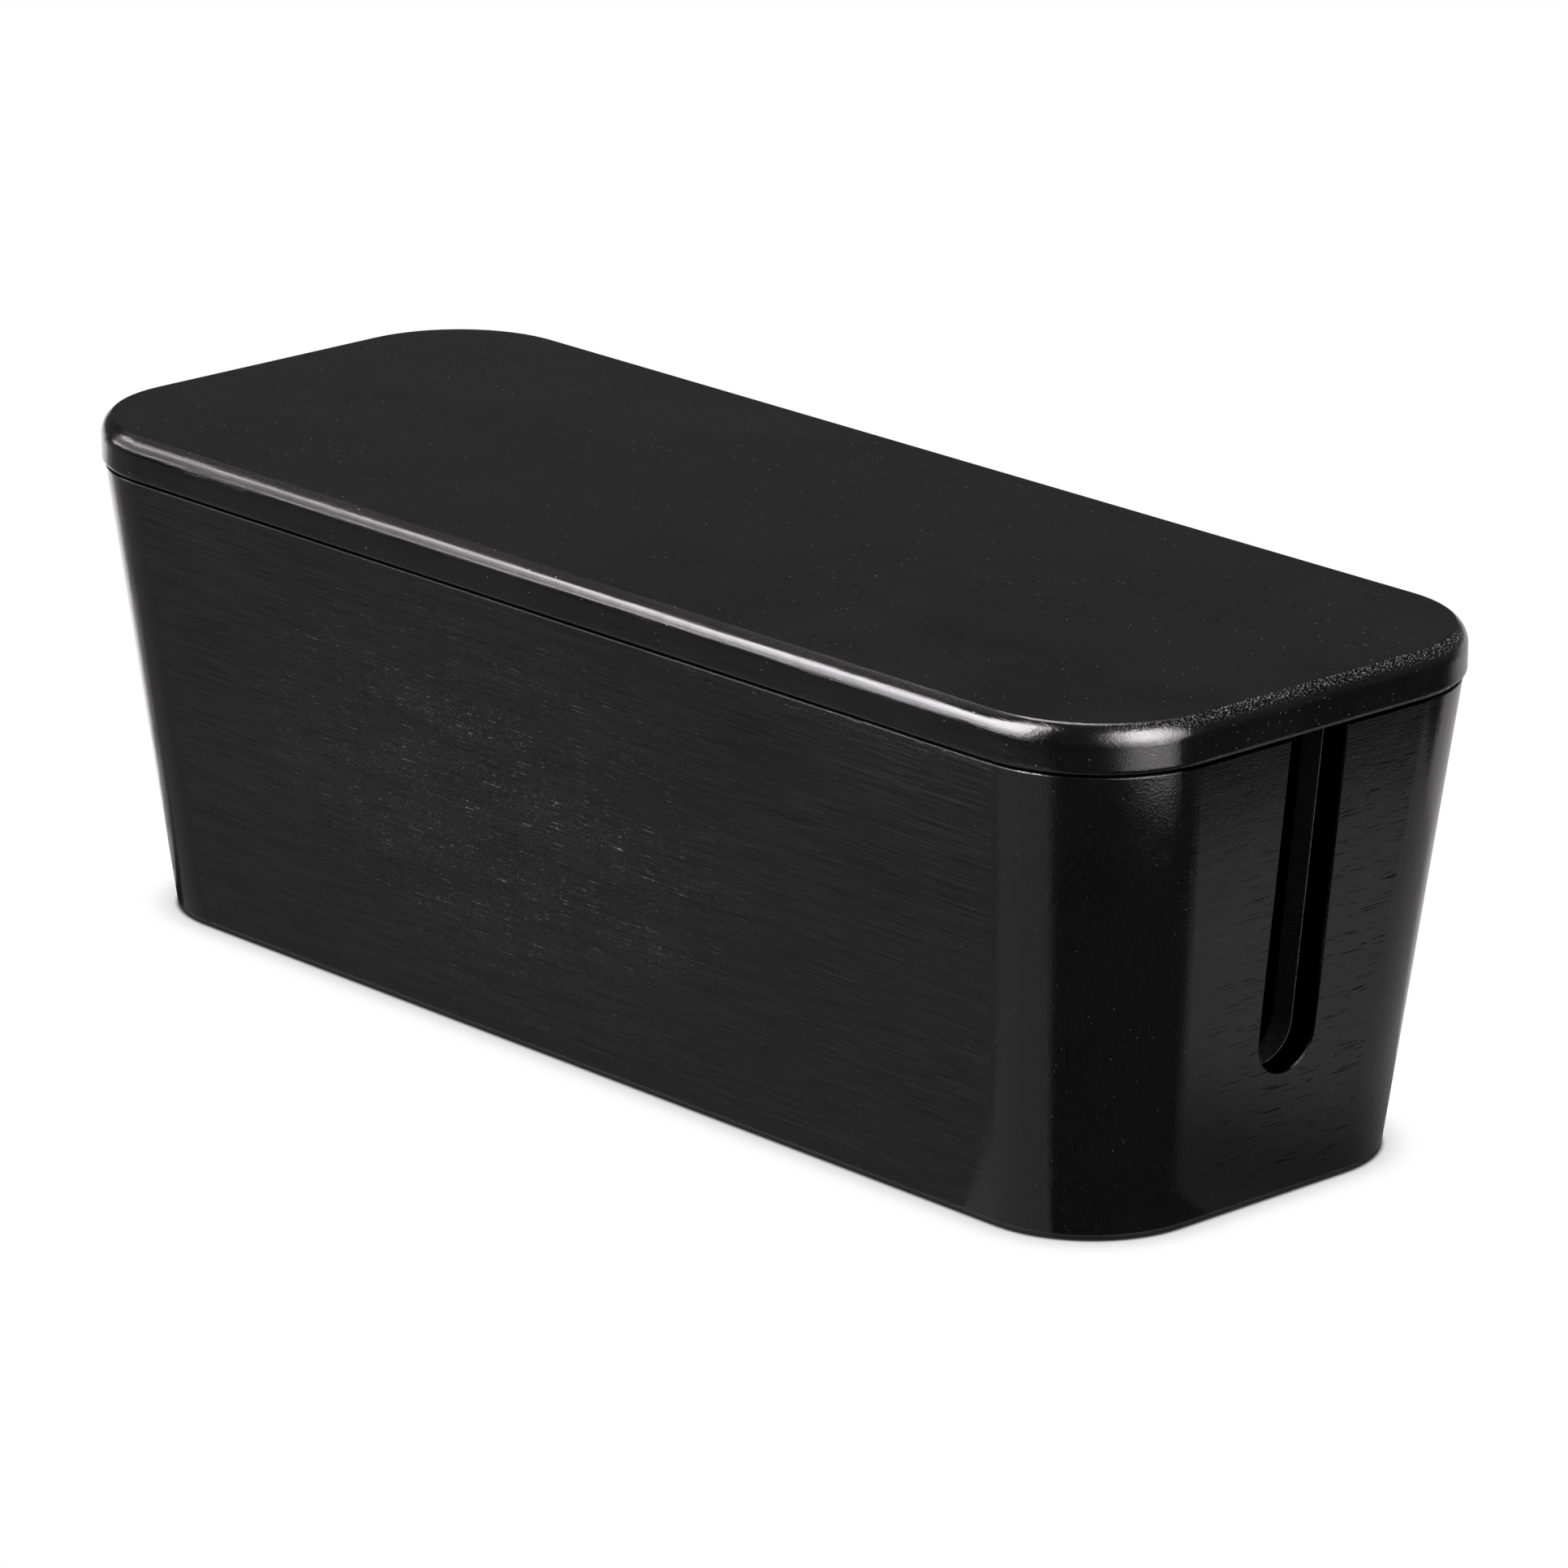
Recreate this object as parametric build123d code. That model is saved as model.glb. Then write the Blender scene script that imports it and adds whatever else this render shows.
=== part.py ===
from build123d import *

import os

# A lidded wooden box that hides a power strip and its cables.
#
# Millimetres, +Z up. The origin is on the floor, under the middle of the box. +X runs along the
# box and the front faces -Y. The walls flare outwards from the base board to the rim. Each wall
# is two boards thick: an outer panel, and a liner glued behind it. Four posts make the round
# corners, and each laps behind the panels beside it. Both ends have a cable slot that is open at
# the rim. The lid lies on the rim, and battens screwed under it keep it central.

# ---- driving dimensions ----------------------------------------------------------------------

# the body, from the underside of its base board up to the rim
RIM_LENGTH = 400.0
RIM_WIDTH = 148.6
BODY_HEIGHT = 124.0
END_FLARE = 13.9  # how far each end leans out between base and rim
SIDE_FLARE = 12.9  # the same for the front and the back
RIM_CORNER_RADIUS = 36.0
BASE_CORNER_RADIUS = 32.0
BODY_ARRIS = 0.3  # eased edge round the rim and under the base

# the walls and the base board; thicknesses are measured level
PANEL_THICKNESS = 7.6
LINER_THICKNESS = 6.6
BASE_THICKNESS = 5.0
POST_WIDTH = 35.0  # how far a post reaches along the front or back
FRONT_POST_DEPTH = 29.5  # how far a front post reaches along an end
BACK_POST_DEPTH = 34.0
POST_LAP = 8.0  # tongue of a post that laps behind a panel

# the cable slots
SLOT_WIDTH = 19.0
SLOT_DEPTH = 90.0  # from the rim to the bottom of the round end
SLOT_OFFSET = 2.0  # from the middle of the box towards the back
SLOT_ARRIS = 0.4  # eased edge round the mouth of a slot

# the lid
LID_THICKNESS = 13.0
LID_OVERHANG = 1.0
LID_EDGE_RADIUS = 6.0
LID_EDGE_DROP = 5.1  # how far the rounding reaches down the side; it meets the top at a crease
LID_UNDER_RADIUS = 1.5
GROOVE_HEIGHT = 0.7  # rebate round the underside, a dark groove above the rim
GROOVE_DEPTH = 4.0  # from the face of the walls to the bottom of the groove

# the battens under the lid
BATTEN_WIDTH = 10.0
BATTEN_HEIGHT = 6.0
BATTEN_CLEARANCE = 0.8  # from a batten to the liner beside it
BATTEN_CORNER_GAP = 3.0  # from the end of a batten to where the corner starts to bend
BATTEN_ARRIS = 0.8

# the feet, let into the base board
FOOT_DIAMETER = 14.0
FOOT_PROUD = 0.5
FOOT_RECESS = 1.5
FOOT_ROOM = 0.1  # radial room round a foot in its recess
FOOT_ARRIS = 0.2
FOOT_INSET_X = 34.0  # from the edge of the base to the middle of a foot
FOOT_INSET_Y = 22.0

# the countersunk wood screws
SCREW_HEAD_DIAMETER = 6.0
SCREW_SHANK_DIAMETER = 3.0
SCREW_TIP_LENGTH = 3.0
SCREW_TIP_DIAMETER = 0.6
SCREW_ROOM = 0.05  # room between a screw and its hole
DRIVE_LENGTH = 3.2  # the cross recess in a screw's head
DRIVE_WIDTH = 0.8
DRIVE_DEPTH = 0.8
BASE_SCREW_LENGTH = 18.0
BATTEN_SCREW_LENGTH = 14.0
SIDE_SCREW_INSET = 20.0  # from the end of a front or back liner to its outer screws
END_SCREW_INSET = 10.0  # the same on an end liner
BATTEN_SCREW_INSET = 15.0  # from the end of a batten to its outer screws

# ---- derived places --------------------------------------------------------------------------

CUT_RUN = 20.0  # how far a cutting solid runs past the surface that it cuts
WALL = PANEL_THICKNESS + LINER_THICKNESS
BASE_Z = FOOT_PROUD
FLOOR_Z = BASE_Z + BASE_THICKNESS
RIM_Z = BASE_Z + BODY_HEIGHT
BATTEN_Z = RIM_Z - BATTEN_HEIGHT

ENDS = {"left": -1, "right": 1}
SIDES = {"front": -1, "back": 1}
POST_DEPTH = {"front": FRONT_POST_DEPTH, "back": BACK_POST_DEPTH}


def rise(z):
    """Share of the body's height that lies below z."""
    return (z - BASE_Z) / BODY_HEIGHT


def half_length(z):
    return RIM_LENGTH / 2 - END_FLARE * (1 - rise(z))


def half_width(z):
    return RIM_WIDTH / 2 - SIDE_FLARE * (1 - rise(z))


def corner_radius(z):
    return BASE_CORNER_RADIUS + (RIM_CORNER_RADIUS - BASE_CORNER_RADIUS) * rise(z)


# ---- shared forms ----------------------------------------------------------------------------


def outline(z, inset=0.0):
    """Level outline of the body at z, taken in by inset."""
    length = 2 * (half_length(z) - inset)
    width = 2 * (half_width(z) - inset)
    return Pos(0, 0, z) * RectangleRounded(length, width, corner_radius(z) - inset)


def flared(low, high, low_inset=0.0, high_inset=0.0):
    """Solid between the body's outlines at two heights."""
    return loft([outline(low, low_inset), outline(high, high_inset)], ruled=True)


def leaning_block(x_limits, y_limits, low, high):
    """Block whose limits along X and Y are functions of height."""
    levels = []
    for z in (low, high):
        x_min, x_max = sorted(x_limits(z))
        y_min, y_max = sorted(y_limits(z))
        middle = Pos((x_min + x_max) / 2, (y_min + y_max) / 2, z)
        levels.append(middle * Rectangle(x_max - x_min, y_max - y_min))
    return loft(levels, ruled=True)


def side_board(sign, near, far, lap=0.0):
    """Board in the front or back wall, between two depths below the wall's face."""
    return leaning_block(
        lambda z: (POST_WIDTH + lap - half_length(z), half_length(z) - POST_WIDTH - lap),
        lambda z: (sign * (half_width(z) - near), sign * (half_width(z) - far)),
        FLOOR_Z,
        RIM_Z,
    )


def end_board(near, far, lap=0.0):
    """Board in the right end wall, between two depths below the wall's face."""
    return leaning_block(
        lambda z: (half_length(z) - far, half_length(z) - near),
        lambda z: (
            FRONT_POST_DEPTH + lap - half_width(z),
            half_width(z) - BACK_POST_DEPTH - lap,
        ),
        FLOOR_Z,
        RIM_Z,
    )


def screw_form(length, room=0.0):
    """Countersunk screw, or the hole for it, pointing up from its head at z = 0."""
    head = SCREW_HEAD_DIAMETER / 2 + room
    shank = SCREW_SHANK_DIAMETER / 2 + room
    tip = SCREW_TIP_DIAMETER / 2 + room
    profile = Polyline(
        (0, 0),
        (head, 0),
        (shank, head - shank),
        (shank, length - SCREW_TIP_LENGTH),
        (tip, length + room),
        (0, length + room),
        close=True,
    )
    return revolve(Plane.XZ * make_face(profile), Axis.Z)


def screw(length):
    arm = Box(DRIVE_LENGTH, DRIVE_WIDTH, 2 * DRIVE_DEPTH)
    return screw_form(length) - arm - Rot(0, 0, 90) * arm


def screws_and_holes(length, places):
    """The screws at a list of places as one group, and a list of their holes."""
    one_screw = screw(length)
    one_hole = screw_form(length, SCREW_ROOM)
    group = Compound([place * one_screw for place in places])
    return group, [place * one_hole for place in places]


# ---- the body --------------------------------------------------------------------------------


def slot_cut():
    """Solid that cuts the cable slot through the right end wall."""
    round_z = RIM_Z - SLOT_DEPTH + SLOT_WIDTH / 2
    top = RIM_Z + CUT_RUN
    reach = END_FLARE + WALL + 2 * CUT_RUN
    middle_x = half_length(RIM_Z) + CUT_RUN - reach / 2
    shaft = Box(reach, SLOT_WIDTH, top - round_z)
    round_end = Rot(0, 90, 0) * Cylinder(SLOT_WIDTH / 2, reach)
    return (
        Pos(middle_x, SLOT_OFFSET, (round_z + top) / 2) * shaft
        + Pos(middle_x, SLOT_OFFSET, round_z) * round_end
    )


def slot_mouth(panel):
    """Edges of the slotted end panel that lie on its outer face, round the slot."""

    def on_mouth(edge):
        point = edge @ 0.5
        on_face = abs(point.X - half_length(point.Z)) < SLOT_ARRIS / 4
        in_slot = abs(point.Y - SLOT_OFFSET) < SLOT_WIDTH / 2 + SLOT_ARRIS / 4
        return on_face and in_slot and point.Z > FLOOR_Z + SLOT_ARRIS

    return panel.edges().filter_by(on_mouth)


def base_screw_places():
    """Screws up through the base board, into the middle of the liners and the posts."""
    bite_z = BASE_Z + (BASE_THICKNESS + BASE_SCREW_LENGTH) / 2
    liner_middle = PANEL_THICKNESS + LINER_THICKNESS / 2
    side_y = half_width(bite_z) - liner_middle
    end_x = half_length(bite_z) - liner_middle
    post_x = half_length(FLOOR_Z) - POST_WIDTH / 2
    outer_x = half_length(FLOOR_Z) - POST_WIDTH - POST_LAP - SIDE_SCREW_INSET
    end_y = {
        side: half_width(FLOOR_Z) - POST_DEPTH[side] - POST_LAP - END_SCREW_INSET
        for side in SIDES
    }
    places = []
    for side, sy in SIDES.items():
        places += [Pos(x, sy * side_y, BASE_Z) for x in (-post_x, -outer_x, 0, outer_x, post_x)]
        places += [Pos(sx * end_x, sy * end_y[side], BASE_Z) for sx in ENDS.values()]
    return places


def right_post(side, walls):
    """Corner post: the rounded corner of the wall, with a tongue behind each panel."""
    sign, depth = SIDES[side], POST_DEPTH[side]
    corner = leaning_block(
        lambda z: (half_length(z) - POST_WIDTH - POST_LAP, half_length(z) + CUT_RUN),
        lambda z: (sign * (half_width(z) - depth - POST_LAP), sign * (half_width(z) + CUT_RUN)),
        FLOOR_Z,
        RIM_Z,
    )
    panels = [side_board(sign, -CUT_RUN, PANEL_THICKNESS), end_board(-CUT_RUN, PANEL_THICKNESS)]
    return (walls & corner) - panels


def right_end(eased, walls):
    """The pieces at the right end of the walls, named for either end."""
    slot = slot_cut()
    panel = (flared(FLOOR_Z, RIM_Z) & end_board(-CUT_RUN, PANEL_THICKNESS)) - slot
    panel = chamfer(slot_mouth(panel), SLOT_ARRIS)
    pieces = {
        "{}_end_panel": eased & panel,
        "{}_end_liner": end_board(PANEL_THICKNESS, WALL, POST_LAP) - slot,
    }
    for side in SIDES:
        pieces[side + "_{}_post"] = right_post(side, walls)
    return pieces


def foot():
    """Rubber foot, standing on z = 0."""
    form = Cylinder(
        FOOT_DIAMETER / 2, FOOT_PROUD + FOOT_RECESS, align=(Align.CENTER, Align.CENTER, Align.MIN)
    )
    return chamfer(form.edges().group_by(Axis.Z)[0], FOOT_ARRIS)


def body_parts():
    eased_base = flared(BASE_Z, BASE_Z + BODY_ARRIS, BODY_ARRIS, 0)
    middle = flared(BASE_Z + BODY_ARRIS, RIM_Z - BODY_ARRIS)
    eased_rim = flared(RIM_Z - BODY_ARRIS, RIM_Z, 0, BODY_ARRIS)
    eased = eased_base + middle + eased_rim
    walls = eased - flared(BASE_Z, RIM_Z + CUT_RUN, WALL, WALL)

    base_slab = Box(RIM_LENGTH, RIM_WIDTH, 2 * BASE_THICKNESS)
    parts = {"base_board": eased & Pos(0, 0, BASE_Z) * base_slab}

    for side, sy in SIDES.items():
        parts[f"{side}_panel"] = eased & side_board(sy, -CUT_RUN, PANEL_THICKNESS)
        parts[f"{side}_liner"] = side_board(sy, PANEL_THICKNESS, WALL, POST_LAP)

    for name, piece in right_end(eased, walls).items():
        parts[name.format("right")] = piece
        parts[name.format("left")] = mirror(piece, Plane.YZ)

    screws, holes = screws_and_holes(BASE_SCREW_LENGTH, base_screw_places())
    parts = {name: part - holes for name, part in parts.items()}
    parts["base_screws"] = screws

    foot_x = half_length(BASE_Z) - FOOT_INSET_X
    foot_y = half_width(BASE_Z) - FOOT_INSET_Y
    recess = Cylinder(FOOT_DIAMETER / 2 + FOOT_ROOM, 2 * FOOT_RECESS)
    for side, sy in SIDES.items():
        for end, sx in ENDS.items():
            parts["base_board"] -= Pos(sx * foot_x, sy * foot_y, BASE_Z) * recess
            parts[f"foot_{side}_{end}"] = Pos(sx * foot_x, sy * foot_y, 0) * foot()
    return parts


# ---- the lid ---------------------------------------------------------------------------------


def lid_outline(z, outset):
    """Level outline of the rim at z, let out by outset."""
    length = RIM_LENGTH + 2 * outset
    width = RIM_WIDTH + 2 * outset
    return Pos(0, 0, z) * RectangleRounded(length, width, RIM_CORNER_RADIUS + outset)


def lid_blank():
    """Lid board, round below, and above with a rounding that the flat top cuts off short."""
    under_z = RIM_Z + GROOVE_HEIGHT
    rounded_height = LID_THICKNESS - GROOVE_HEIGHT + LID_EDGE_RADIUS - LID_EDGE_DROP
    board = extrude(lid_outline(under_z, LID_OVERHANG), rounded_height)
    board = fillet(board.edges().group_by(Axis.Z)[-1], LID_EDGE_RADIUS)
    board = fillet(board.edges().group_by(Axis.Z)[0], LID_UNDER_RADIUS)
    seat = extrude(lid_outline(RIM_Z, -GROOVE_DEPTH), LID_THICKNESS - LID_EDGE_DROP)
    return (board + seat) & Pos(0, 0, RIM_Z) * Box(2 * RIM_LENGTH, 2 * RIM_WIDTH, 2 * LID_THICKNESS)


def batten(length_x, length_y):
    """Batten standing on z = 0, eased on its lower edges."""
    bar = Box(length_x, length_y, BATTEN_HEIGHT, align=(Align.CENTER, Align.CENTER, Align.MIN))
    return chamfer(bar.edges().group_by(Axis.Z)[0], BATTEN_ARRIS)


def lid_parts():
    wall_inside = WALL + BATTEN_CLEARANCE + BATTEN_WIDTH / 2
    x = half_length(BATTEN_Z) - wall_inside
    y = half_width(BATTEN_Z) - wall_inside
    half_long = half_length(RIM_Z) - RIM_CORNER_RADIUS - BATTEN_CORNER_GAP
    half_short = half_width(RIM_Z) - RIM_CORNER_RADIUS - BATTEN_CORNER_GAP
    outer_x = half_long - BATTEN_SCREW_INSET
    outer_y = half_short - BATTEN_SCREW_INSET

    parts = {"lid_board": lid_blank()}
    places = []
    for side, sy in SIDES.items():
        parts[f"{side}_batten"] = Pos(0, sy * y, BATTEN_Z) * batten(2 * half_long, BATTEN_WIDTH)
        places += [Pos(across, sy * y, BATTEN_Z) for across in (-outer_x, 0, outer_x)]
    for end, sx in ENDS.items():
        parts[f"{end}_batten"] = Pos(sx * x, 0, BATTEN_Z) * batten(BATTEN_WIDTH, 2 * half_short)
        places += [Pos(sx * x, across, BATTEN_Z) for across in (-outer_y, outer_y)]

    screws, holes = screws_and_holes(BATTEN_SCREW_LENGTH, places)
    parts = {name: part - holes for name, part in parts.items()}
    parts["batten_screws"] = screws
    return parts


os.makedirs("parts", exist_ok=True)
for node, shape in {**body_parts(), **lid_parts()}.items():
    export_step(shape, f"parts/{node}.step")
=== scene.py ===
import math

import bpy
from mathutils import Matrix, Vector


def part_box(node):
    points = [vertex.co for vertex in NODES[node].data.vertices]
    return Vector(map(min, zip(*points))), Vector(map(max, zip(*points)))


# The looks of a lidded wooden cable box, painted satin black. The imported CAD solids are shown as
# they are, and get node materials. The camera, the floor, the world, and the cards and panels that
# the paint reflects are made here. Blender units are metres; materials work in millimetres.

MM = 0.001
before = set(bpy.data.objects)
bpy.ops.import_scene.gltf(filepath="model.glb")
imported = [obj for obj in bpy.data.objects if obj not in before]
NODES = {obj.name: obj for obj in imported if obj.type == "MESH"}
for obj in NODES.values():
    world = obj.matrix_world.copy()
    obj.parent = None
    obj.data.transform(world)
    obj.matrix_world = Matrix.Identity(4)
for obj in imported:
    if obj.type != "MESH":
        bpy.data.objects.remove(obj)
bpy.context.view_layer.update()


# ---- camera ----------------------------------------------------------------------------------

CAMERA_AZIMUTH = math.radians(47.354)  # from straight in front (-Y) round towards the right end
CAMERA_ELEVATION = math.radians(17.977)
CAMERA_ROLL = math.radians(0.147)
CAMERA_DISTANCE = 2.2319
CAMERA_TARGET = Vector((0.0203, -0.0090, 0.0705))
CAMERA_LENS_MM = 198.82
SENSOR_MM = 36.0


def direction(azimuth, elevation):
    """Unit vector; azimuth 0 is -Y and grows towards +X."""
    level = math.cos(elevation)
    return Vector((level * math.sin(azimuth), -level * math.cos(azimuth), math.sin(elevation)))


def looking(position, target, roll):
    """World matrix of a camera at position, facing target, rolled about its view line."""
    facing = (target - position).to_track_quat("-Z", "Y").to_matrix().to_4x4()
    return Matrix.Translation(position) @ facing @ Matrix.Rotation(roll, 4, "Z")


def add_camera():
    data = bpy.data.cameras.new("camera")
    data.lens = CAMERA_LENS_MM
    data.sensor_width = SENSOR_MM
    data.sensor_fit = "HORIZONTAL"
    data.clip_start = 0.01
    data.clip_end = 100.0
    camera = bpy.data.objects.new("camera", data)
    bpy.context.scene.collection.objects.link(camera)
    position = CAMERA_TARGET + CAMERA_DISTANCE * direction(CAMERA_AZIMUTH, CAMERA_ELEVATION)
    camera.matrix_world = looking(position, CAMERA_TARGET, CAMERA_ROLL)
    bpy.context.scene.camera = camera


# ---- node materials --------------------------------------------------------------------------


def sizes_along(axis, along, across):
    """Cell sizes that are long along one axis, "X", "Y" or "Z"."""
    return [along if name == axis else across for name in "XYZ"]


class Shader:
    """A small builder for node trees. Object positions are at rest, so they follow a moving lid."""

    def __init__(self, tree):
        self.tree = tree

    def connect(self, node, inputs):
        """Links each named input to a socket, or sets it to a number."""
        for key, value in inputs.items():
            if isinstance(value, bpy.types.NodeSocket):
                self.tree.links.new(value, node.inputs[key])
            else:
                node.inputs[key].default_value = value

    def add(self, kind, inputs=None, **settings):
        node = self.tree.nodes.new(kind)
        for name, value in settings.items():
            setattr(node, name, value)
        self.connect(node, inputs or {})
        return node

    def math(self, operation, a, b=0.0):
        return self.add("ShaderNodeMath", {0: a, 1: b}, operation=operation).outputs[0]

    def total(self, *values):
        result = values[0]
        for value in values[1:]:
            result = self.math("ADD", result, value)
        return result

    def product(self, *values):
        result = values[0]
        for value in values[1:]:
            result = self.math("MULTIPLY", result, value)
        return result

    def fade(self, value, low, high, at_low=0.0, at_high=1.0):
        """Smooth step of value from at_low at low to at_high at high."""
        inputs = {"Value": value, "From Min": low, "From Max": high, "To Min": at_low, "To Max": at_high}
        return self.add("ShaderNodeMapRange", inputs, interpolation_type="SMOOTHSTEP").outputs[0]

    def parts(self, vector):
        """X, Y and Z of a vector."""
        return self.add("ShaderNodeSeparateXYZ", {0: vector}).outputs

    def stretched(self, sizes_mm):
        """Object position with cells of these sizes along X, Y and Z, in millimetres."""
        place = self.add("ShaderNodeTexCoord").outputs["Object"]
        scale = Vector([1 / (MM * size) for size in sizes_mm])
        return self.add("ShaderNodeVectorMath", {0: place, 1: scale}, operation="MULTIPLY").outputs[0]

    def position_mm(self):
        """X, Y and Z of the object position, in millimetres."""
        return self.parts(self.stretched((1.0, 1.0, 1.0)))

    def noise(self, sizes_mm, detail=2.0, roughness=0.5, shift=0.0):
        """Noise around 0.5 with cells of these sizes. shift makes it differ from other noise."""
        place = self.stretched(sizes_mm)
        if shift:
            moved = {0: place, 1: (shift, shift, shift)}
            place = self.add("ShaderNodeVectorMath", moved, operation="ADD").outputs[0]
        inputs = {"Vector": place, "Scale": 1.0, "Detail": detail, "Roughness": roughness}
        return self.add("ShaderNodeTexNoise", inputs).outputs["Fac"]

    def near(self, region, outside):
        """1 inside a region, given as its centre and its reach in millimetres, and less outside it."""
        if region is None:
            return 1.0
        centre, reach = region
        scaled = Vector([place / size for place, size in zip(centre, reach)])
        inputs = {0: self.stretched(reach), 1: scaled}
        away = self.add("ShaderNodeVectorMath", inputs, operation="DISTANCE").outputs["Value"]
        return self.fade(away, 0.35, 1.0, 1.0, outside)

    def dashes(self, axis, length_mm, width_mm, share):
        """Scattered dashes along axis, in a share of the places; most are faint, and few are strong."""
        radius = 0.3
        sizes = sizes_along(axis, length_mm / 2 / radius, width_mm / 2 / radius)
        inputs = {"Vector": self.stretched(sizes), "Scale": 1.0, "Randomness": 1.0}
        outputs = self.add("ShaderNodeTexVoronoi", inputs, feature="F1").outputs
        chance = self.add("ShaderNodeSeparateColor", {0: outputs["Color"]}).outputs[0]
        present = self.fade(chance, 1 - share, 1.0)
        near = self.fade(outputs["Distance"], radius * 0.5, radius, 1.0, 0.0)
        return self.product(near, present, present)

    def bump(self, height, depth_mm=1.0):
        """Relief of a height that runs from 0 to 1 over a depth."""
        return self.add("ShaderNodeBump", {"Height": height, "Strength": 1.0, "Distance": depth_mm * MM})

    def rounded(self, radius_mm, samples):
        """Normal with the arrises rounded to a radius."""
        return self.add("ShaderNodeBevel", {"Radius": radius_mm * MM}, samples=samples).outputs[0]


def principled(name):
    """The builder of a new material's nodes, its Principled BSDF, and the material."""
    material = bpy.data.materials.new(name)
    material.use_nodes = True
    return Shader(material.node_tree), material.node_tree.nodes["Principled BSDF"], material


PAINT_SHADE = (0.0044, 0.0054)  # darkest and palest place of the paint's slow clouds
PAINT_ROUGHNESS = (0.12, 0.17)
# paleness of the dust nibs and of the painted highlights of open pores
SPECK_SHADE = 0.3
POROUS_AWAY = 0.08  # share of the open pores that is left away from where they crowd
GRAINY_AWAY = 0.3  # the same for the streaks of the grain


def painted_pore_glints(s, axis, open_here, rim):
    """Painted highlights: pores along the grain painted pale where they would catch the light, broken
    into dots. They follow the rim too, as painted glints of the grain there.
    """
    length, _, level = s.position_mm()
    broken = s.fade(s.noise(sizes_along(axis, 0.7, 0.3), detail=1.0, shift=2.2), 0.42, 0.62, 0.1, 1.0)
    crowd = s.fade(s.noise(sizes_along(axis, 60.0, 9.0), detail=2.0, shift=6.1), 0.35, 0.65, 0.4, 0.95)
    dash = s.total(s.dashes(axis, 7.0, 0.21, 0.3), s.dashes(axis, 2.4, 0.2, 0.3))
    dots = s.total(s.product(s.dashes(axis, 0.5, 0.3, 0.4), 0.4), s.fade(broken, 0.7, 1.0, 0.0, 0.05))
    # painted glints of the grain just under the rim
    along_rim = s.product(s.fade(level, rim - 4.5, rim - 1.0), s.fade(length, 30.0, 70.0, 0.0, 0.9))
    where = s.math("MAXIMUM", open_here, along_rim)
    return s.product(s.total(s.product(dash, broken), dots), crowd, where)


def shaded_pores(s, axis, open_here):
    """Open pores along the grain, painted dark as the shade in them; 1 in their middle."""
    deep = s.dashes(axis, 9.0, 0.36, 0.95)
    small = s.product(s.dashes(axis, 4.0, 0.28, 0.85), 0.8)
    patchy = s.fade(s.noise(sizes_along(axis, 30.0, 9.0), detail=1.0, shift=8.4), 0.32, 0.50, 0.3, 1.0)
    pit = s.math("MINIMUM", s.product(s.total(deep, small), 3.0), 1.0)
    return s.product(pit, open_here, patchy)


def painted_crease_sparkle(s, far, level, crease):
    """Painted highlight: pale streaks below the lid's crease, for the sparkle of light on its rounding,
    many along its ends and few along its sides.
    """
    sparkle_scratch = s.fade(s.noise((0.26, 0.5, 0.5), detail=1.0, shift=15.1), 0.54, 0.7)
    on_the_sides = s.product(s.fade(far, 30.0, 100.0, 0.0, 0.03), s.fade(far, 164.0, 174.0, 1.0, 0.0))
    weight = s.total(on_the_sides, s.fade(far, 189.0, 196.0, 0.0, 0.35))
    lowest = s.fade(far, 172.0, 190.0, crease - 1.6, crease - 3.2)
    below = s.fade(level, crease - 0.15, crease - 0.02, 1.0, 0.0)
    return s.product(sparkle_scratch, weight, s.fade(level, lowest, crease - 0.6), below)


def cut_edge_shade(s):
    """1 on the outside of the end boards, and less on their cut edges, such as the slot's walls, which
    get painted shade and less gloss.
    """
    normal = s.add("ShaderNodeNewGeometry").outputs["Normal"]
    return s.fade(s.math("ABSOLUTE", s.parts(normal)["X"]), 0.8, 0.95, 0.12, 1.0)


def rounded_above(s, level, lowest, radius_mm):
    """Normal with the arrises rounded above a level."""
    flat = s.add("ShaderNodeNewGeometry").outputs["Normal"]
    inputs = {0: s.fade(level, lowest, lowest + 0.3), 4: flat, 5: s.rounded(radius_mm, 4)}
    return s.add("ShaderNodeMix", inputs, data_type="VECTOR").outputs[1]


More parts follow.
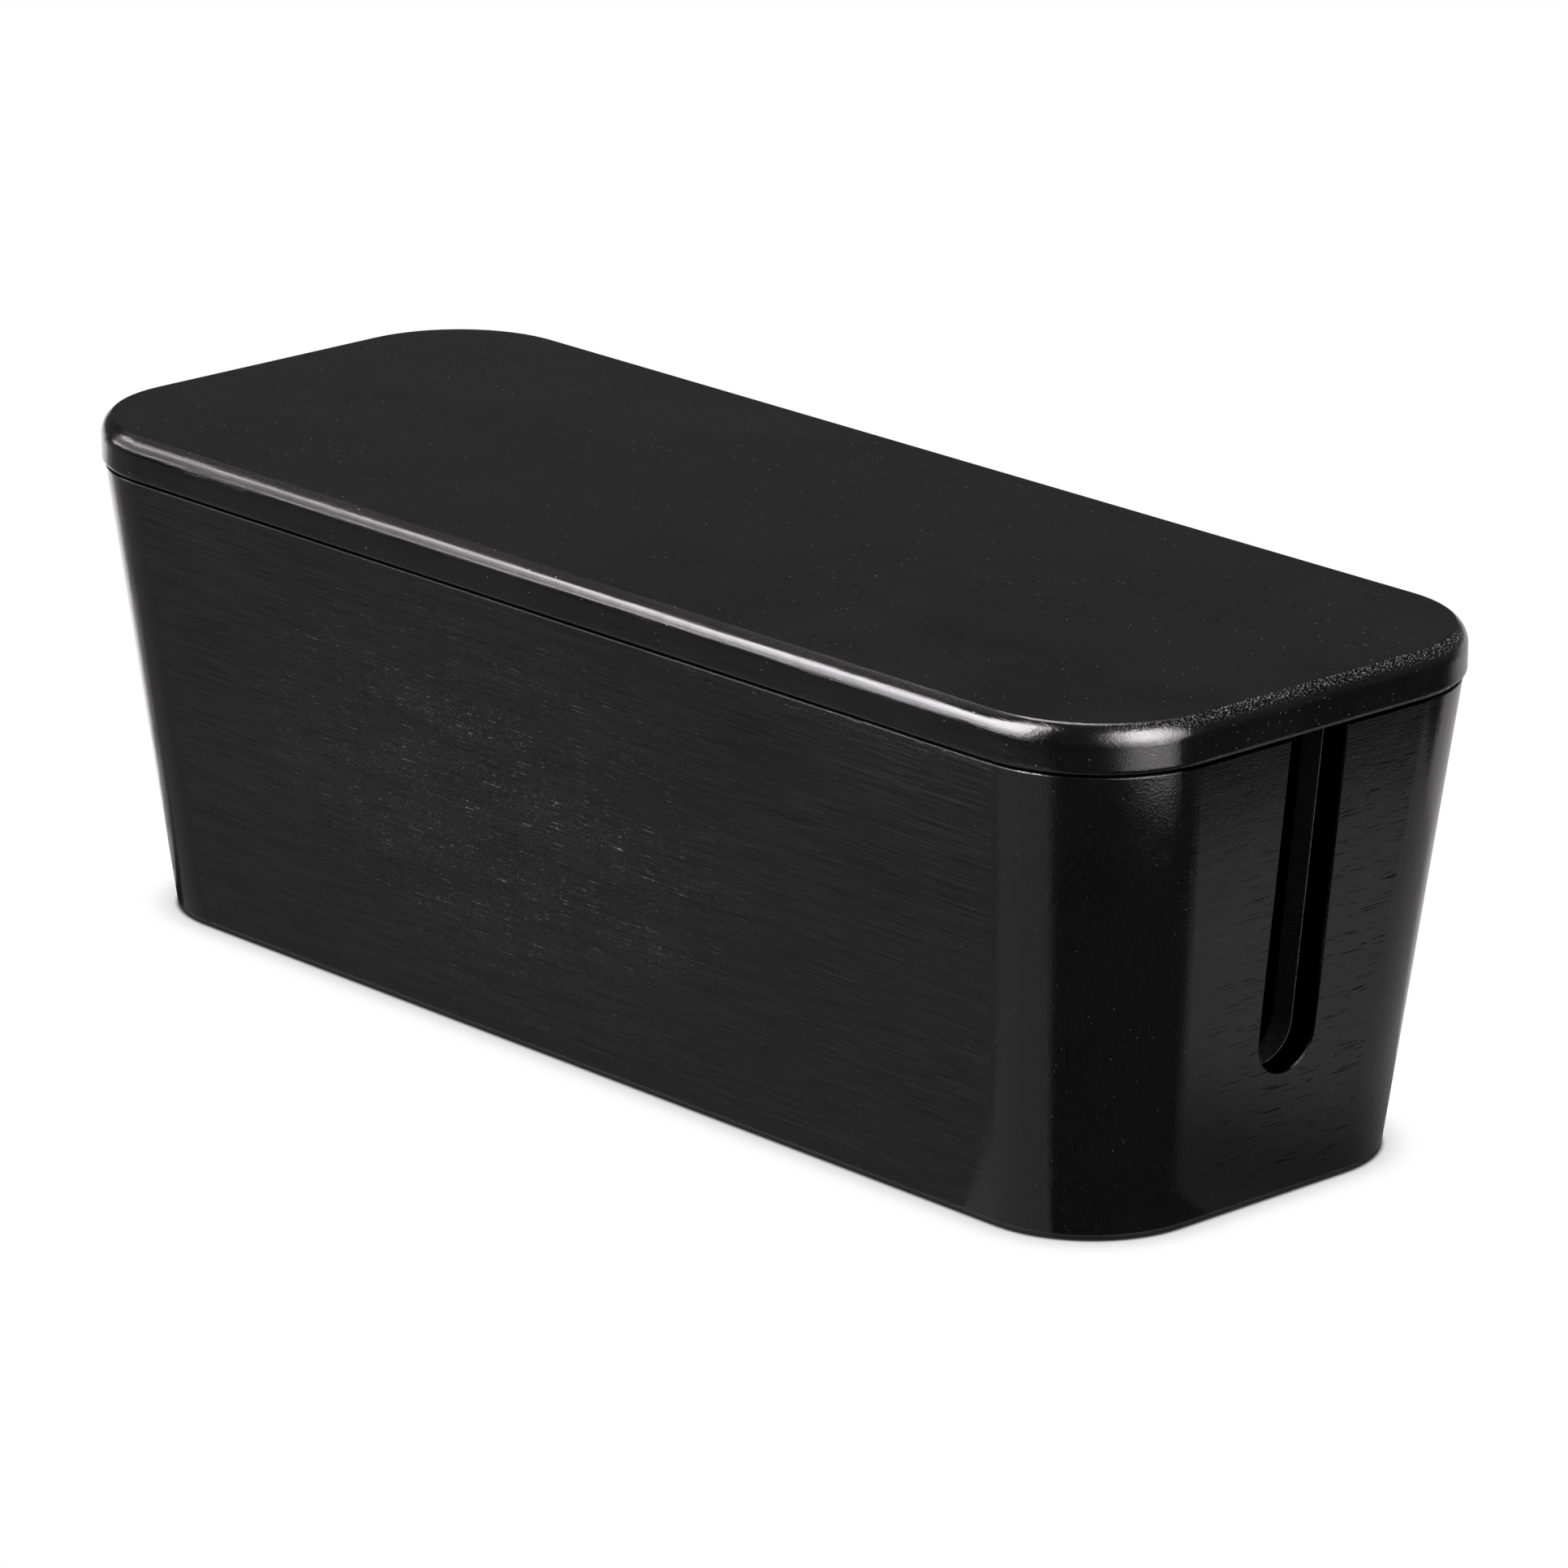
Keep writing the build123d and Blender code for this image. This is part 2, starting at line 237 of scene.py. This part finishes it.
def painted_wood(
    name, axis, lines=1.0, streaks=0.5, hairs=0.5, peel=1.0, nibs=0.3, glints=0.0, pores=0.0,
    pores_near=None, lines_near=None, eased_above=None, ease=0.2, dark_below=None, crease=None,
):
    """Satin black paint over wood whose grain runs along axis.

    lines weighs the relief of the grain, and streaks and hairs its wide and fine shading; the pale
    streaks are grain and partly painted highlight. peel weighs the skin of the paint, whose colour
    carries painted light and shade, nibs the dust in it, painted pale as dust and as its glints,
    glints the painted highlights of open pores, and pores the open pores, painted dark as the shade
    in them. pores_near and lines_near are the regions where the pores and the streaks show most.
    Above the level eased_above the arrises are rounded to the radius ease, and below the level
    dark_below the paint is dull and painted dark, a painted shade as in a groove. crease is the
    level of the lid's flat top, which is smooth, with pale streaks painted round its edge as a
    painted highlight of its sparkle. Lengths are in millimetres.
    """
    s, paint, material = principled(name)
    length, _, level = s.position_mm()
    open_here = s.near(pores_near, POROUS_AWAY)

    # grain: long fine lines, strong in some patches and faint in others; the pale streaks are grain and
    # partly painted highlight, most in the lines_near region
    fine = s.noise(sizes_along(axis, 24.0, 0.36), detail=3.0, roughness=0.6)
    hair = s.noise(sizes_along(axis, 24.0, 0.34), detail=2.0, roughness=0.7, shift=13.3)
    broad = s.noise(sizes_along(axis, 60.0, 2.2), detail=2.0, shift=7.3)
    patch = s.fade(s.noise(sizes_along(axis, 70.0, 30.0), detail=2.0, shift=3.1), 0.38, 0.62, 0.2, 1.0)
    streak = s.product(s.fade(fine, 0.50, 0.70), patch, s.near(lines_near, GRAINY_AWAY))
    grain = s.total(
        s.fade(hair, 0.3, 0.7, -0.006 * hairs, 0.008 * hairs),
        s.product(streak, 0.016 * streaks),
    )

    # paint: an orange-peel skin, whose colour carries painted light and shade, slow waves and clouds,
    # and specks of dust and painted highlights of open pores
    skin = s.noise((0.65, 0.65, 0.65), detail=1.0, shift=11.7)
    waves = s.noise((9.0, 9.0, 9.0), detail=1.0, shift=5.2)
    cloud = s.noise((34.0, 34.0, 34.0), detail=3.0, shift=1.7)
    # specks: dust nibs, painted pale as dust and as their glints, and with glints the painted highlights
    # of open pores
    speck = s.product(s.dashes(axis, 0.6, 0.32, 0.035), nibs)
    if glints:
        speck = s.total(speck, s.product(painted_pore_glints(s, axis, open_here, eased_above), glints))
    shade = s.total(
        s.fade(cloud, 0.3, 0.7, *PAINT_SHADE),
        # painted light and shade of the skin's relief
        s.fade(skin, 0.35, 0.75, -0.0005 * peel, 0.0012 * peel),
        s.product(speck, SPECK_SHADE),
    )
    roughness = s.fade(s.total(cloud, s.product(fine, 0.5)), 0.5, 1.0, *PAINT_ROUGHNESS)
    skin_depth = 0.03 * peel
    if crease is not None:
        far = s.math("ABSOLUTE", length)
        skin_depth = s.total(skin_depth, s.fade(far, 160.0, 176.0, 0.0, 0.022))
        grain = s.product(grain, s.fade(level, crease - 8.0, crease - 6.0, 1.0, 0.1))
        # painted highlight of the sparkle just below the crease
        shade = s.total(shade, painted_crease_sparkle(s, far, level, crease))
    shade = s.total(shade, grain)
    height = s.total(
        s.product(fine, patch, 0.06 * lines),
        s.product(broad, 0.05 * lines),
        s.product(skin, skin_depth),
        s.product(waves, 0.05),
        s.product(speck, 0.02),
    )

    kept = None
    if pores:
        # painted shade: the pores, and the cut edges of the end boards, are made darker and less glossy
        pit = shaded_pores(s, axis, open_here)
        height = s.math("SUBTRACT", height, s.product(pit, 0.02 * pores))
        kept = s.product(s.math("SUBTRACT", 1.0, s.product(pit, pores)), cut_edge_shade(s))
    # painted shade: below dark_below the paint is darker and duller, in the groove under the lid and
    # along the base's bottom edge
    elif dark_below is not None:
        kept = s.fade(level, dark_below - 0.8, dark_below, 0.4, 1.0)
        roughness = s.total(roughness, s.fade(level, dark_below - 0.6, dark_below + 0.2, 0.5, 0.0))
    if kept is not None:
        shade = s.product(shade, kept)
        s.connect(paint, {"Specular IOR Level": s.product(kept, 0.5)})

    bump = s.bump(height)
    if eased_above is not None:
        s.connect(bump, {"Normal": rounded_above(s, level, eased_above, ease)})
    shade = s.math("MAXIMUM", shade, 0.0)
    colour = s.add("ShaderNodeCombineColor", {0: shade, 1: s.product(shade, 0.96), 2: shade})
    s.connect(paint, {
        "Base Color": colour.outputs[0],
        "Roughness": roughness,
        "Normal": bump.outputs[0],
    })
    return material


def rough_coat(name, axis):
    """The thin rough coat on the inner boards and battens, with a pale line along the outer edges,
    partly wear and partly a painted highlight of the joint.
    """
    s, coat, material = principled(name)
    lines = s.noise(sizes_along(axis, 18.0, 0.6), detail=3.0, roughness=0.6)
    sand = s.noise((0.42, 0.42, 0.42), detail=2.0, roughness=0.6, shift=4.6)
    cloud = s.noise((20.0, 20.0, 20.0), detail=3.0, shift=9.1)
    bump = s.bump(s.total(s.product(lines, 0.10), s.product(sand, 0.16)))

    # a pale line along the outer edges: wear, and a painted highlight
    across = "Y" if axis == "X" else "X"
    side = s.math("SIGN", s.position_mm()[across])
    outward = s.product(s.parts(s.rounded(0.5, 6))[across], side)
    wear_and_glint = s.product(s.fade(outward, 0.15, 0.4), s.fade(sand, 0.35, 0.6, 0.15, 1.0))
    shade = s.total(
        s.fade(cloud, 0.3, 0.7, 0.001, 0.002),
        s.product(lines, 0.001),
        s.fade(sand, 0.58, 0.74, 0.0, 0.10),
        s.product(wear_and_glint, 0.6),
    )
    warm = {0: shade, 1: s.product(shade, 0.96), 2: s.product(shade, 0.94)}
    colour = s.add("ShaderNodeCombineColor", warm)
    s.connect(coat, {
        "Base Color": colour.outputs[0],
        "Roughness": s.fade(sand, 0.3, 0.7, 0.42, 0.62),
        "Specular IOR Level": 0.2,
        "Normal": bump.outputs[0],
    })
    return material


def rubber(name):
    """Matt black rubber, dusty in places."""
    s, body, material = principled(name)
    grit = s.noise((0.35, 0.35, 0.35), detail=3.0)
    dust = s.fade(s.noise((5.0, 5.0, 5.0), detail=2.0, shift=4.0), 0.4, 0.8, 0.020, 0.050)
    colour = s.add("ShaderNodeCombineColor", {0: dust, 1: dust, 2: dust})
    s.connect(body, {
        "Base Color": colour.outputs[0],
        "Roughness": s.fade(grit, 0.3, 0.7, 0.62, 0.8),
        "Normal": s.bump(grit, 0.02).outputs[0],
    })
    return material


def blackened_steel(name):
    """Dark patina over turned steel."""
    s, body, material = principled(name)
    turned = s.noise((0.12, 0.12, 0.9), detail=2.0)
    patina = s.fade(s.noise((1.6, 1.6, 1.6), detail=3.0, shift=6.0), 0.35, 0.7, 0.035, 0.11)
    colour = s.add("ShaderNodeCombineColor", {0: patina, 1: patina, 2: s.product(patina, 1.06)})
    s.connect(body, {
        "Base Color": colour.outputs[0],
        "Roughness": s.fade(turned, 0.3, 0.7, 0.28, 0.42),
        "Metallic": 1.0,
        "Normal": s.bump(turned, 0.01).outputs[0],
    })
    return material


# ---- the box ---------------------------------------------------------------------------------


def dress(names, material):
    """Gives CAD nodes a material."""
    for name in names:
        slots = NODES[name].data.materials
        slots.clear()
        slots.append(material)


def dress_box():
    ends = ("left", "right")
    sides = ("front", "back")
    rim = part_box("front_panel")[1][2] / MM
    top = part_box("lid_board")[1][2] / MM
    along = rough_coat("paint_inside", "X")
    across = rough_coat("paint_inside_end", "Y")
    dress(["lid_board"], painted_wood(
        "paint_lid", "X", lines=0.7, streaks=0.3, peel=0.25, nibs=1.0,
        eased_above=top - 1.4, ease=0.9, dark_below=rim + 1.5, crease=top,
    ))
    dress([f"{side}_panel" for side in sides], painted_wood(
        "paint_front", "X", streaks=1.6, hairs=0.9, peel=0.7, glints=1.35, eased_above=rim - 0.8,
        pores_near=((-25, 0, 68), (120, 200, 75)), lines_near=((160, 0, 110), (130, 200, 55)),
    ))
    dress([f"{end}_end_panel" for end in ends], painted_wood(
        "paint_end", "Y", lines=0.4, streaks=0.3, hairs=0.2, peel=1.2, pores=0.9,
        eased_above=rim - 0.8, pores_near=((0, 14, 70), (800, 56, 800)),
    ))
    dress([f"{side}_{end}_post" for side in sides for end in ends], painted_wood(
        "paint_post", "Z", lines=0.3, streaks=0.1, hairs=0.2, nibs=0.4, eased_above=rim - 0.8,
    ))
    dress(["base_board"], painted_wood("paint_base", "X", lines=0.5, dark_below=1.8))
    dress([f"{side}_{piece}" for side in sides for piece in ("liner", "batten")], along)
    dress([f"{end}_{piece}" for end in ends for piece in ("end_liner", "batten")], across)
    dress([f"foot_{side}_{end}" for side in sides for end in ends], rubber("rubber"))
    dress(["base_screws", "batten_screws"], blackened_steel("blackened_steel"))


# ---- floor and world -------------------------------------------------------------------------


def background_rays(s):
    """1 for the rays that see the white background, and 0 for those that carry light."""
    ray = s.add("ShaderNodeLightPath").outputs
    seen = s.math("MAXIMUM", ray["Is Camera Ray"], ray["Is Transmission Ray"])
    return s.math("MAXIMUM", seen, ray["Is Glossy Ray"])


def stage_mesh(name, points, faces):
    """A mesh that is part of the stage, and not of the object."""
    mesh = bpy.data.meshes.new(name)
    mesh.from_pydata(points, [], faces)
    obj = bpy.data.objects.new(name, mesh)
    bpy.context.scene.collection.objects.link(obj)
    return obj


def flat_mesh(name, corners):
    return stage_mesh(name, corners, [list(range(len(corners)))])


def emptied(tree):
    """The builder of a node tree that starts with no nodes."""
    tree.nodes.clear()
    return Shader(tree)


FLOOR_RADIUS_M = 30.0
FLOOR_CORNERS = 96


def add_floor():
    """White right up to the box, with a narrow contact shadow."""
    turns = [math.tau * n / FLOOR_CORNERS for n in range(FLOOR_CORNERS)]
    rim = [(FLOOR_RADIUS_M * math.cos(turn), FLOOR_RADIUS_M * math.sin(turn), 0.0) for turn in turns]
    floor = flat_mesh("floor", rim)
    material = bpy.data.materials.new("pale_floor")
    material.use_nodes = True
    s = emptied(material.node_tree)
    near = s.add("ShaderNodeAmbientOcclusion", {"Distance": 1.6 * MM}, samples=12).outputs["AO"]
    wide = s.add("ShaderNodeAmbientOcclusion", {"Distance": 11 * MM}, samples=12).outputs["AO"]
    shadow = s.product(s.fade(near, 0.3, 1.0, 0.03, 1.0), s.fade(wide, 0.3, 1.0, 0.65, 1.0))
    white = s.add("ShaderNodeEmission", {"Color": (1, 1, 1, 1), "Strength": shadow})
    pale = s.add("ShaderNodeBsdfDiffuse", {"Color": (0.8, 0.8, 0.8, 1)})
    mix = s.add("ShaderNodeMixShader", {0: background_rays(s), 1: pale.outputs[0], 2: white.outputs[0]})
    s.add("ShaderNodeOutputMaterial", {0: mix.outputs[0]})
    floor.data.materials.append(material)


def add_world():
    """White background, and an even soft light from all sides, a little brighter from above."""
    world = bpy.data.worlds.new("studio")
    bpy.context.scene.world = world
    world.use_nodes = True
    s = emptied(world.node_tree)
    up = s.parts(s.add("ShaderNodeTexCoord").outputs["Generated"])["Z"]
    strength = s.math("MAXIMUM", background_rays(s), s.fade(up, -0.2, 1.0, 0.75, 1.0))
    light = s.add("ShaderNodeBackground", {"Color": (1, 1, 1, 1), "Strength": strength})
    s.add("ShaderNodeOutputWorld", {0: light.outputs[0]})


# ---- what the paint reflects -----------------------------------------------------------------


GLOW_COLOUR = (1, 0.97, 0.99, 1)


def shown_in_gloss(obj, radiance):
    """Makes a stage object glow, for reflections alone.

    radiance is its light, where 1 is white, or a function that gives it from a Shader.
    """
    material = bpy.data.materials.new(obj.name)
    material.use_nodes = True
    s = emptied(material.node_tree)
    strength = radiance(s) if callable(radiance) else radiance
    light = s.add("ShaderNodeEmission", {"Color": GLOW_COLOUR, "Strength": strength})
    s.add("ShaderNodeOutputMaterial", {0: light.outputs[0]})
    obj.data.materials.append(material)
    obj.visible_camera = False
    obj.visible_diffuse = False
    obj.visible_transmission = False
    obj.visible_volume_scatter = False
    obj.visible_shadow = False


CARD_LIFT_MM = 0.1  # of the lowest cards above the floor
CARD_STEP_MM = 0.05  # from a card to one that lies on it


def add_card(name, corners, radiance, layer=0):
    """A card on the table round the box, as a photographer lays them to shape what gloss shows."""
    height = (CARD_LIFT_MM + CARD_STEP_MM * layer) * MM
    shown_in_gloss(flat_mesh(name, [(x, y, height) for x, y in corners]), radiance)


def light_beside_end(s):
    """Light of the card beside the right end: dark near the box and pale further out."""
    x, y, _ = s.position_mm()
    outward = s.fade(s.math("ADD", x, y), 205.0, 310.0, 0.12, 0.40)
    return s.product(outward, s.fade(x, 322.0, 360.0, 1.0, 0.05))


def half_light_beside_end(s):
    return s.product(light_beside_end(s), 0.5)


def light_to_the_right(s):
    """Light of the card to the right: brightest far out, and dark towards the near corner."""
    x, y, _ = s.position_mm()
    turn = s.math("ARCTAN2", s.math("ADD", y, 60.0), s.math("SUBTRACT", x, 190.0))
    side = s.fade(s.math("DEGREES", turn), -34.0, -8.0)
    outward = s.total(s.fade(x, 386.0, 414.0, 0.0, 2.3), s.fade(x, 600.0, 1100.0, 0.0, 5.0))
    return s.product(outward, side)


def add_cards():
    """Lays the cards; their corners are X and Y in metres."""
    black = [(-3, -3), (3, -3), (3, 3), (0.25, 3), (0.17, 0.05), (0.17, -0.03), (-3, -0.03)]
    add_card("black_card", black, 0.02)
    right_edge = [(0.236, -0.42), (0.217, -0.31)]  # the near corner's paint turns dark along it
    front = [(-1.2, -0.24), (-1.2, -0.42), *right_edge, (0.167, -0.04), (-0.186, -0.06)]
    add_card("grey_card_front", front, 0.22, 1)
    corner = [(0.150, -0.050), (-0.105, -0.42), *right_edge, (0.167, -0.045)]
    add_card("grey_card_corner", corner, 0.40, 2)
    right = [(0.37, -0.20), (2.0, -1.30), (2.0, 0.40), (0.37, 0.03)]
    add_card("white_card_right", right, light_to_the_right, 1)
    end = [
        (0.15, -0.016), (0.20, -0.018), (0.215, -0.007), (0.259, 0.035), (0.307, 0.079),
        (0.332, 0.107), (0.353, 0.138), (0.362, 0.16), (0.362, 0.26), (0.15, 0.26),
    ]
    add_card("grey_card_end", end, light_beside_end, 2)
    soft_edge = [(x + 0.002, y - 0.006) for x, y in end[1:-1]] + end[-1:]
    add_card("grey_card_end_edge", soft_edge, half_light_beside_end, 1.5)
    add_card("grey_card_back", [(-0.15, 0.05), (0.25, 0.05), (0.25, 1.0), (-0.6, 1.0)], 0.7, 1)
    add_card("white_card_left", [(-0.186, -0.05), (-1.2, -0.24), (-1.2, 1.2), (-0.2, 0.5)], 1.5)


PANEL_FOOT_M = 0.07  # height from which the elevations of the light panels are counted
PANEL_STEP_DEGREES = 2
CEILING_HEIGHT_M = 14.0


def add_panel(name, azimuths, elevations, radius, radiance):
    """A light panel on an upright cylinder round the box, for reflections alone.

    azimuths and elevations are its limits in degrees. radiance(s, azimuth, elevation) gives its light.
    """
    steps = round((azimuths[1] - azimuths[0]) / PANEL_STEP_DEGREES)
    heights = [PANEL_FOOT_M + radius * math.tan(math.radians(limit)) for limit in elevations]
    points = []
    for n in range(steps + 1):
        turn = math.radians(azimuths[0] + (azimuths[1] - azimuths[0]) * n / steps)
        points += [(radius * math.sin(turn), -radius * math.cos(turn), height) for height in heights]
    faces = [(2 * n, 2 * n + 2, 2 * n + 3, 2 * n + 1) for n in range(steps)]

    def panel_light(s):
        x, y, z = s.parts(s.add("ShaderNodeTexCoord").outputs["Object"])
        turn = s.math("ARCTAN2", x, s.product(y, -1.0))
        climb = s.math("ARCTAN2", s.math("SUBTRACT", z, PANEL_FOOT_M), radius)
        return radiance(s, s.math("DEGREES", turn), s.math("DEGREES", climb))

    shown_in_gloss(stage_mesh(name, points, faces), panel_light)


def window_light(s, azimuth, elevation):
    """Brightest along its top and towards the right, where it is taller, with a thin bright sill.

    The lid's round edge shows higher places of the window further left, so what changes along the
    lid follows the slant: the azimuth, plus more the higher the place is.
    """
    high = s.math("MAXIMUM", s.math("SUBTRACT", elevation, 8.0), 0.0)
    slant = s.total(azimuth, s.product(high, high, 0.017))
    across = s.product(s.fade(slant, -51, -39, 12.0, 21.0), s.fade(azimuth, -12, 8, 1.0, 0.0))
    lowest = s.fade(slant, -46.8, -41.5, 16.0, -5.0)
    over = s.math("SUBTRACT", elevation, s.fade(azimuth, -54, -22, 26.8, 57.0))
    pane = s.product(
        s.fade(elevation, lowest, 28.5, 0.13, 1.0),
        s.fade(elevation, 5, 8, 0.4, 1.0),
        s.fade(over, -1.0, 0.5, 1.0, 0.0),
    )
    sill = s.product(s.fade(elevation, -0.5, 1), s.fade(elevation, 3, 4.5, 0.5, 0.0))
    return s.product(across, s.total(pane, sill))


def lamp_light(s, azimuth, elevation):
    """Brightest at the height of a face, with a soft edge on the left and a dim glow above."""
    across = s.product(s.fade(azimuth, 50, 82), s.fade(azimuth, 86, 112, 1.0, 0.3))
    up = s.product(s.fade(elevation, -4, 20, 8.0, 21.0), s.fade(elevation, 46, 54, 1.0, 0.05))
    return s.product(across, up)


def high_light(s, azimuth, elevation):
    """Dim everywhere, pale above the window and brighter further up, and bright high on the left.

    The last makes the bright line along the lid's crease.
    """
    above_window = s.fade(azimuth, -98, -92, 0.0, 0.4)
    further_up = s.product(s.fade(azimuth, -88, -74, 2.4, 0.0), s.fade(elevation, 45.5, 49.5))
    high = s.product(s.fade(elevation, 48, 54, 0.0, 20.0), s.fade(elevation, 64, 70, 1.0, 0.0))
    on_the_left = s.product(high, s.fade(azimuth, -150, -135), s.fade(azimuth, -92, -86, 1.0, 0.0))
    return s.total(above_window, further_up, on_the_left, 0.045)


def wall_light(s, azimuth, elevation):
    """Dim all round, and a little less so low down."""
    return s.fade(elevation, 14, 24, 0.095, 0.045)


def add_panels():
    add_panel("window_panel", (-75, 16), (-1, 60), 2.0, window_light)
    add_panel("lamp_panel", (50, 112), (-1, 74), 2.0, lamp_light)
    add_panel("high_panel", (-176, -56), (28, 77), 1.9, high_light)
    add_panel("dark_wall", (-180, 180), (-1.3, 78), 3.0, wall_light)
    over_the_wall = [(x, y, CEILING_HEIGHT_M) for x, y in ((-4, -4), (4, -4), (4, 4), (-4, 4))]
    shown_in_gloss(flat_mesh("ceiling", over_the_wall), 0.3)


add_camera()
dress_box()
add_floor()
add_world()
add_cards()
add_panels()
bpy.context.scene.view_settings.view_transform = "Standard"
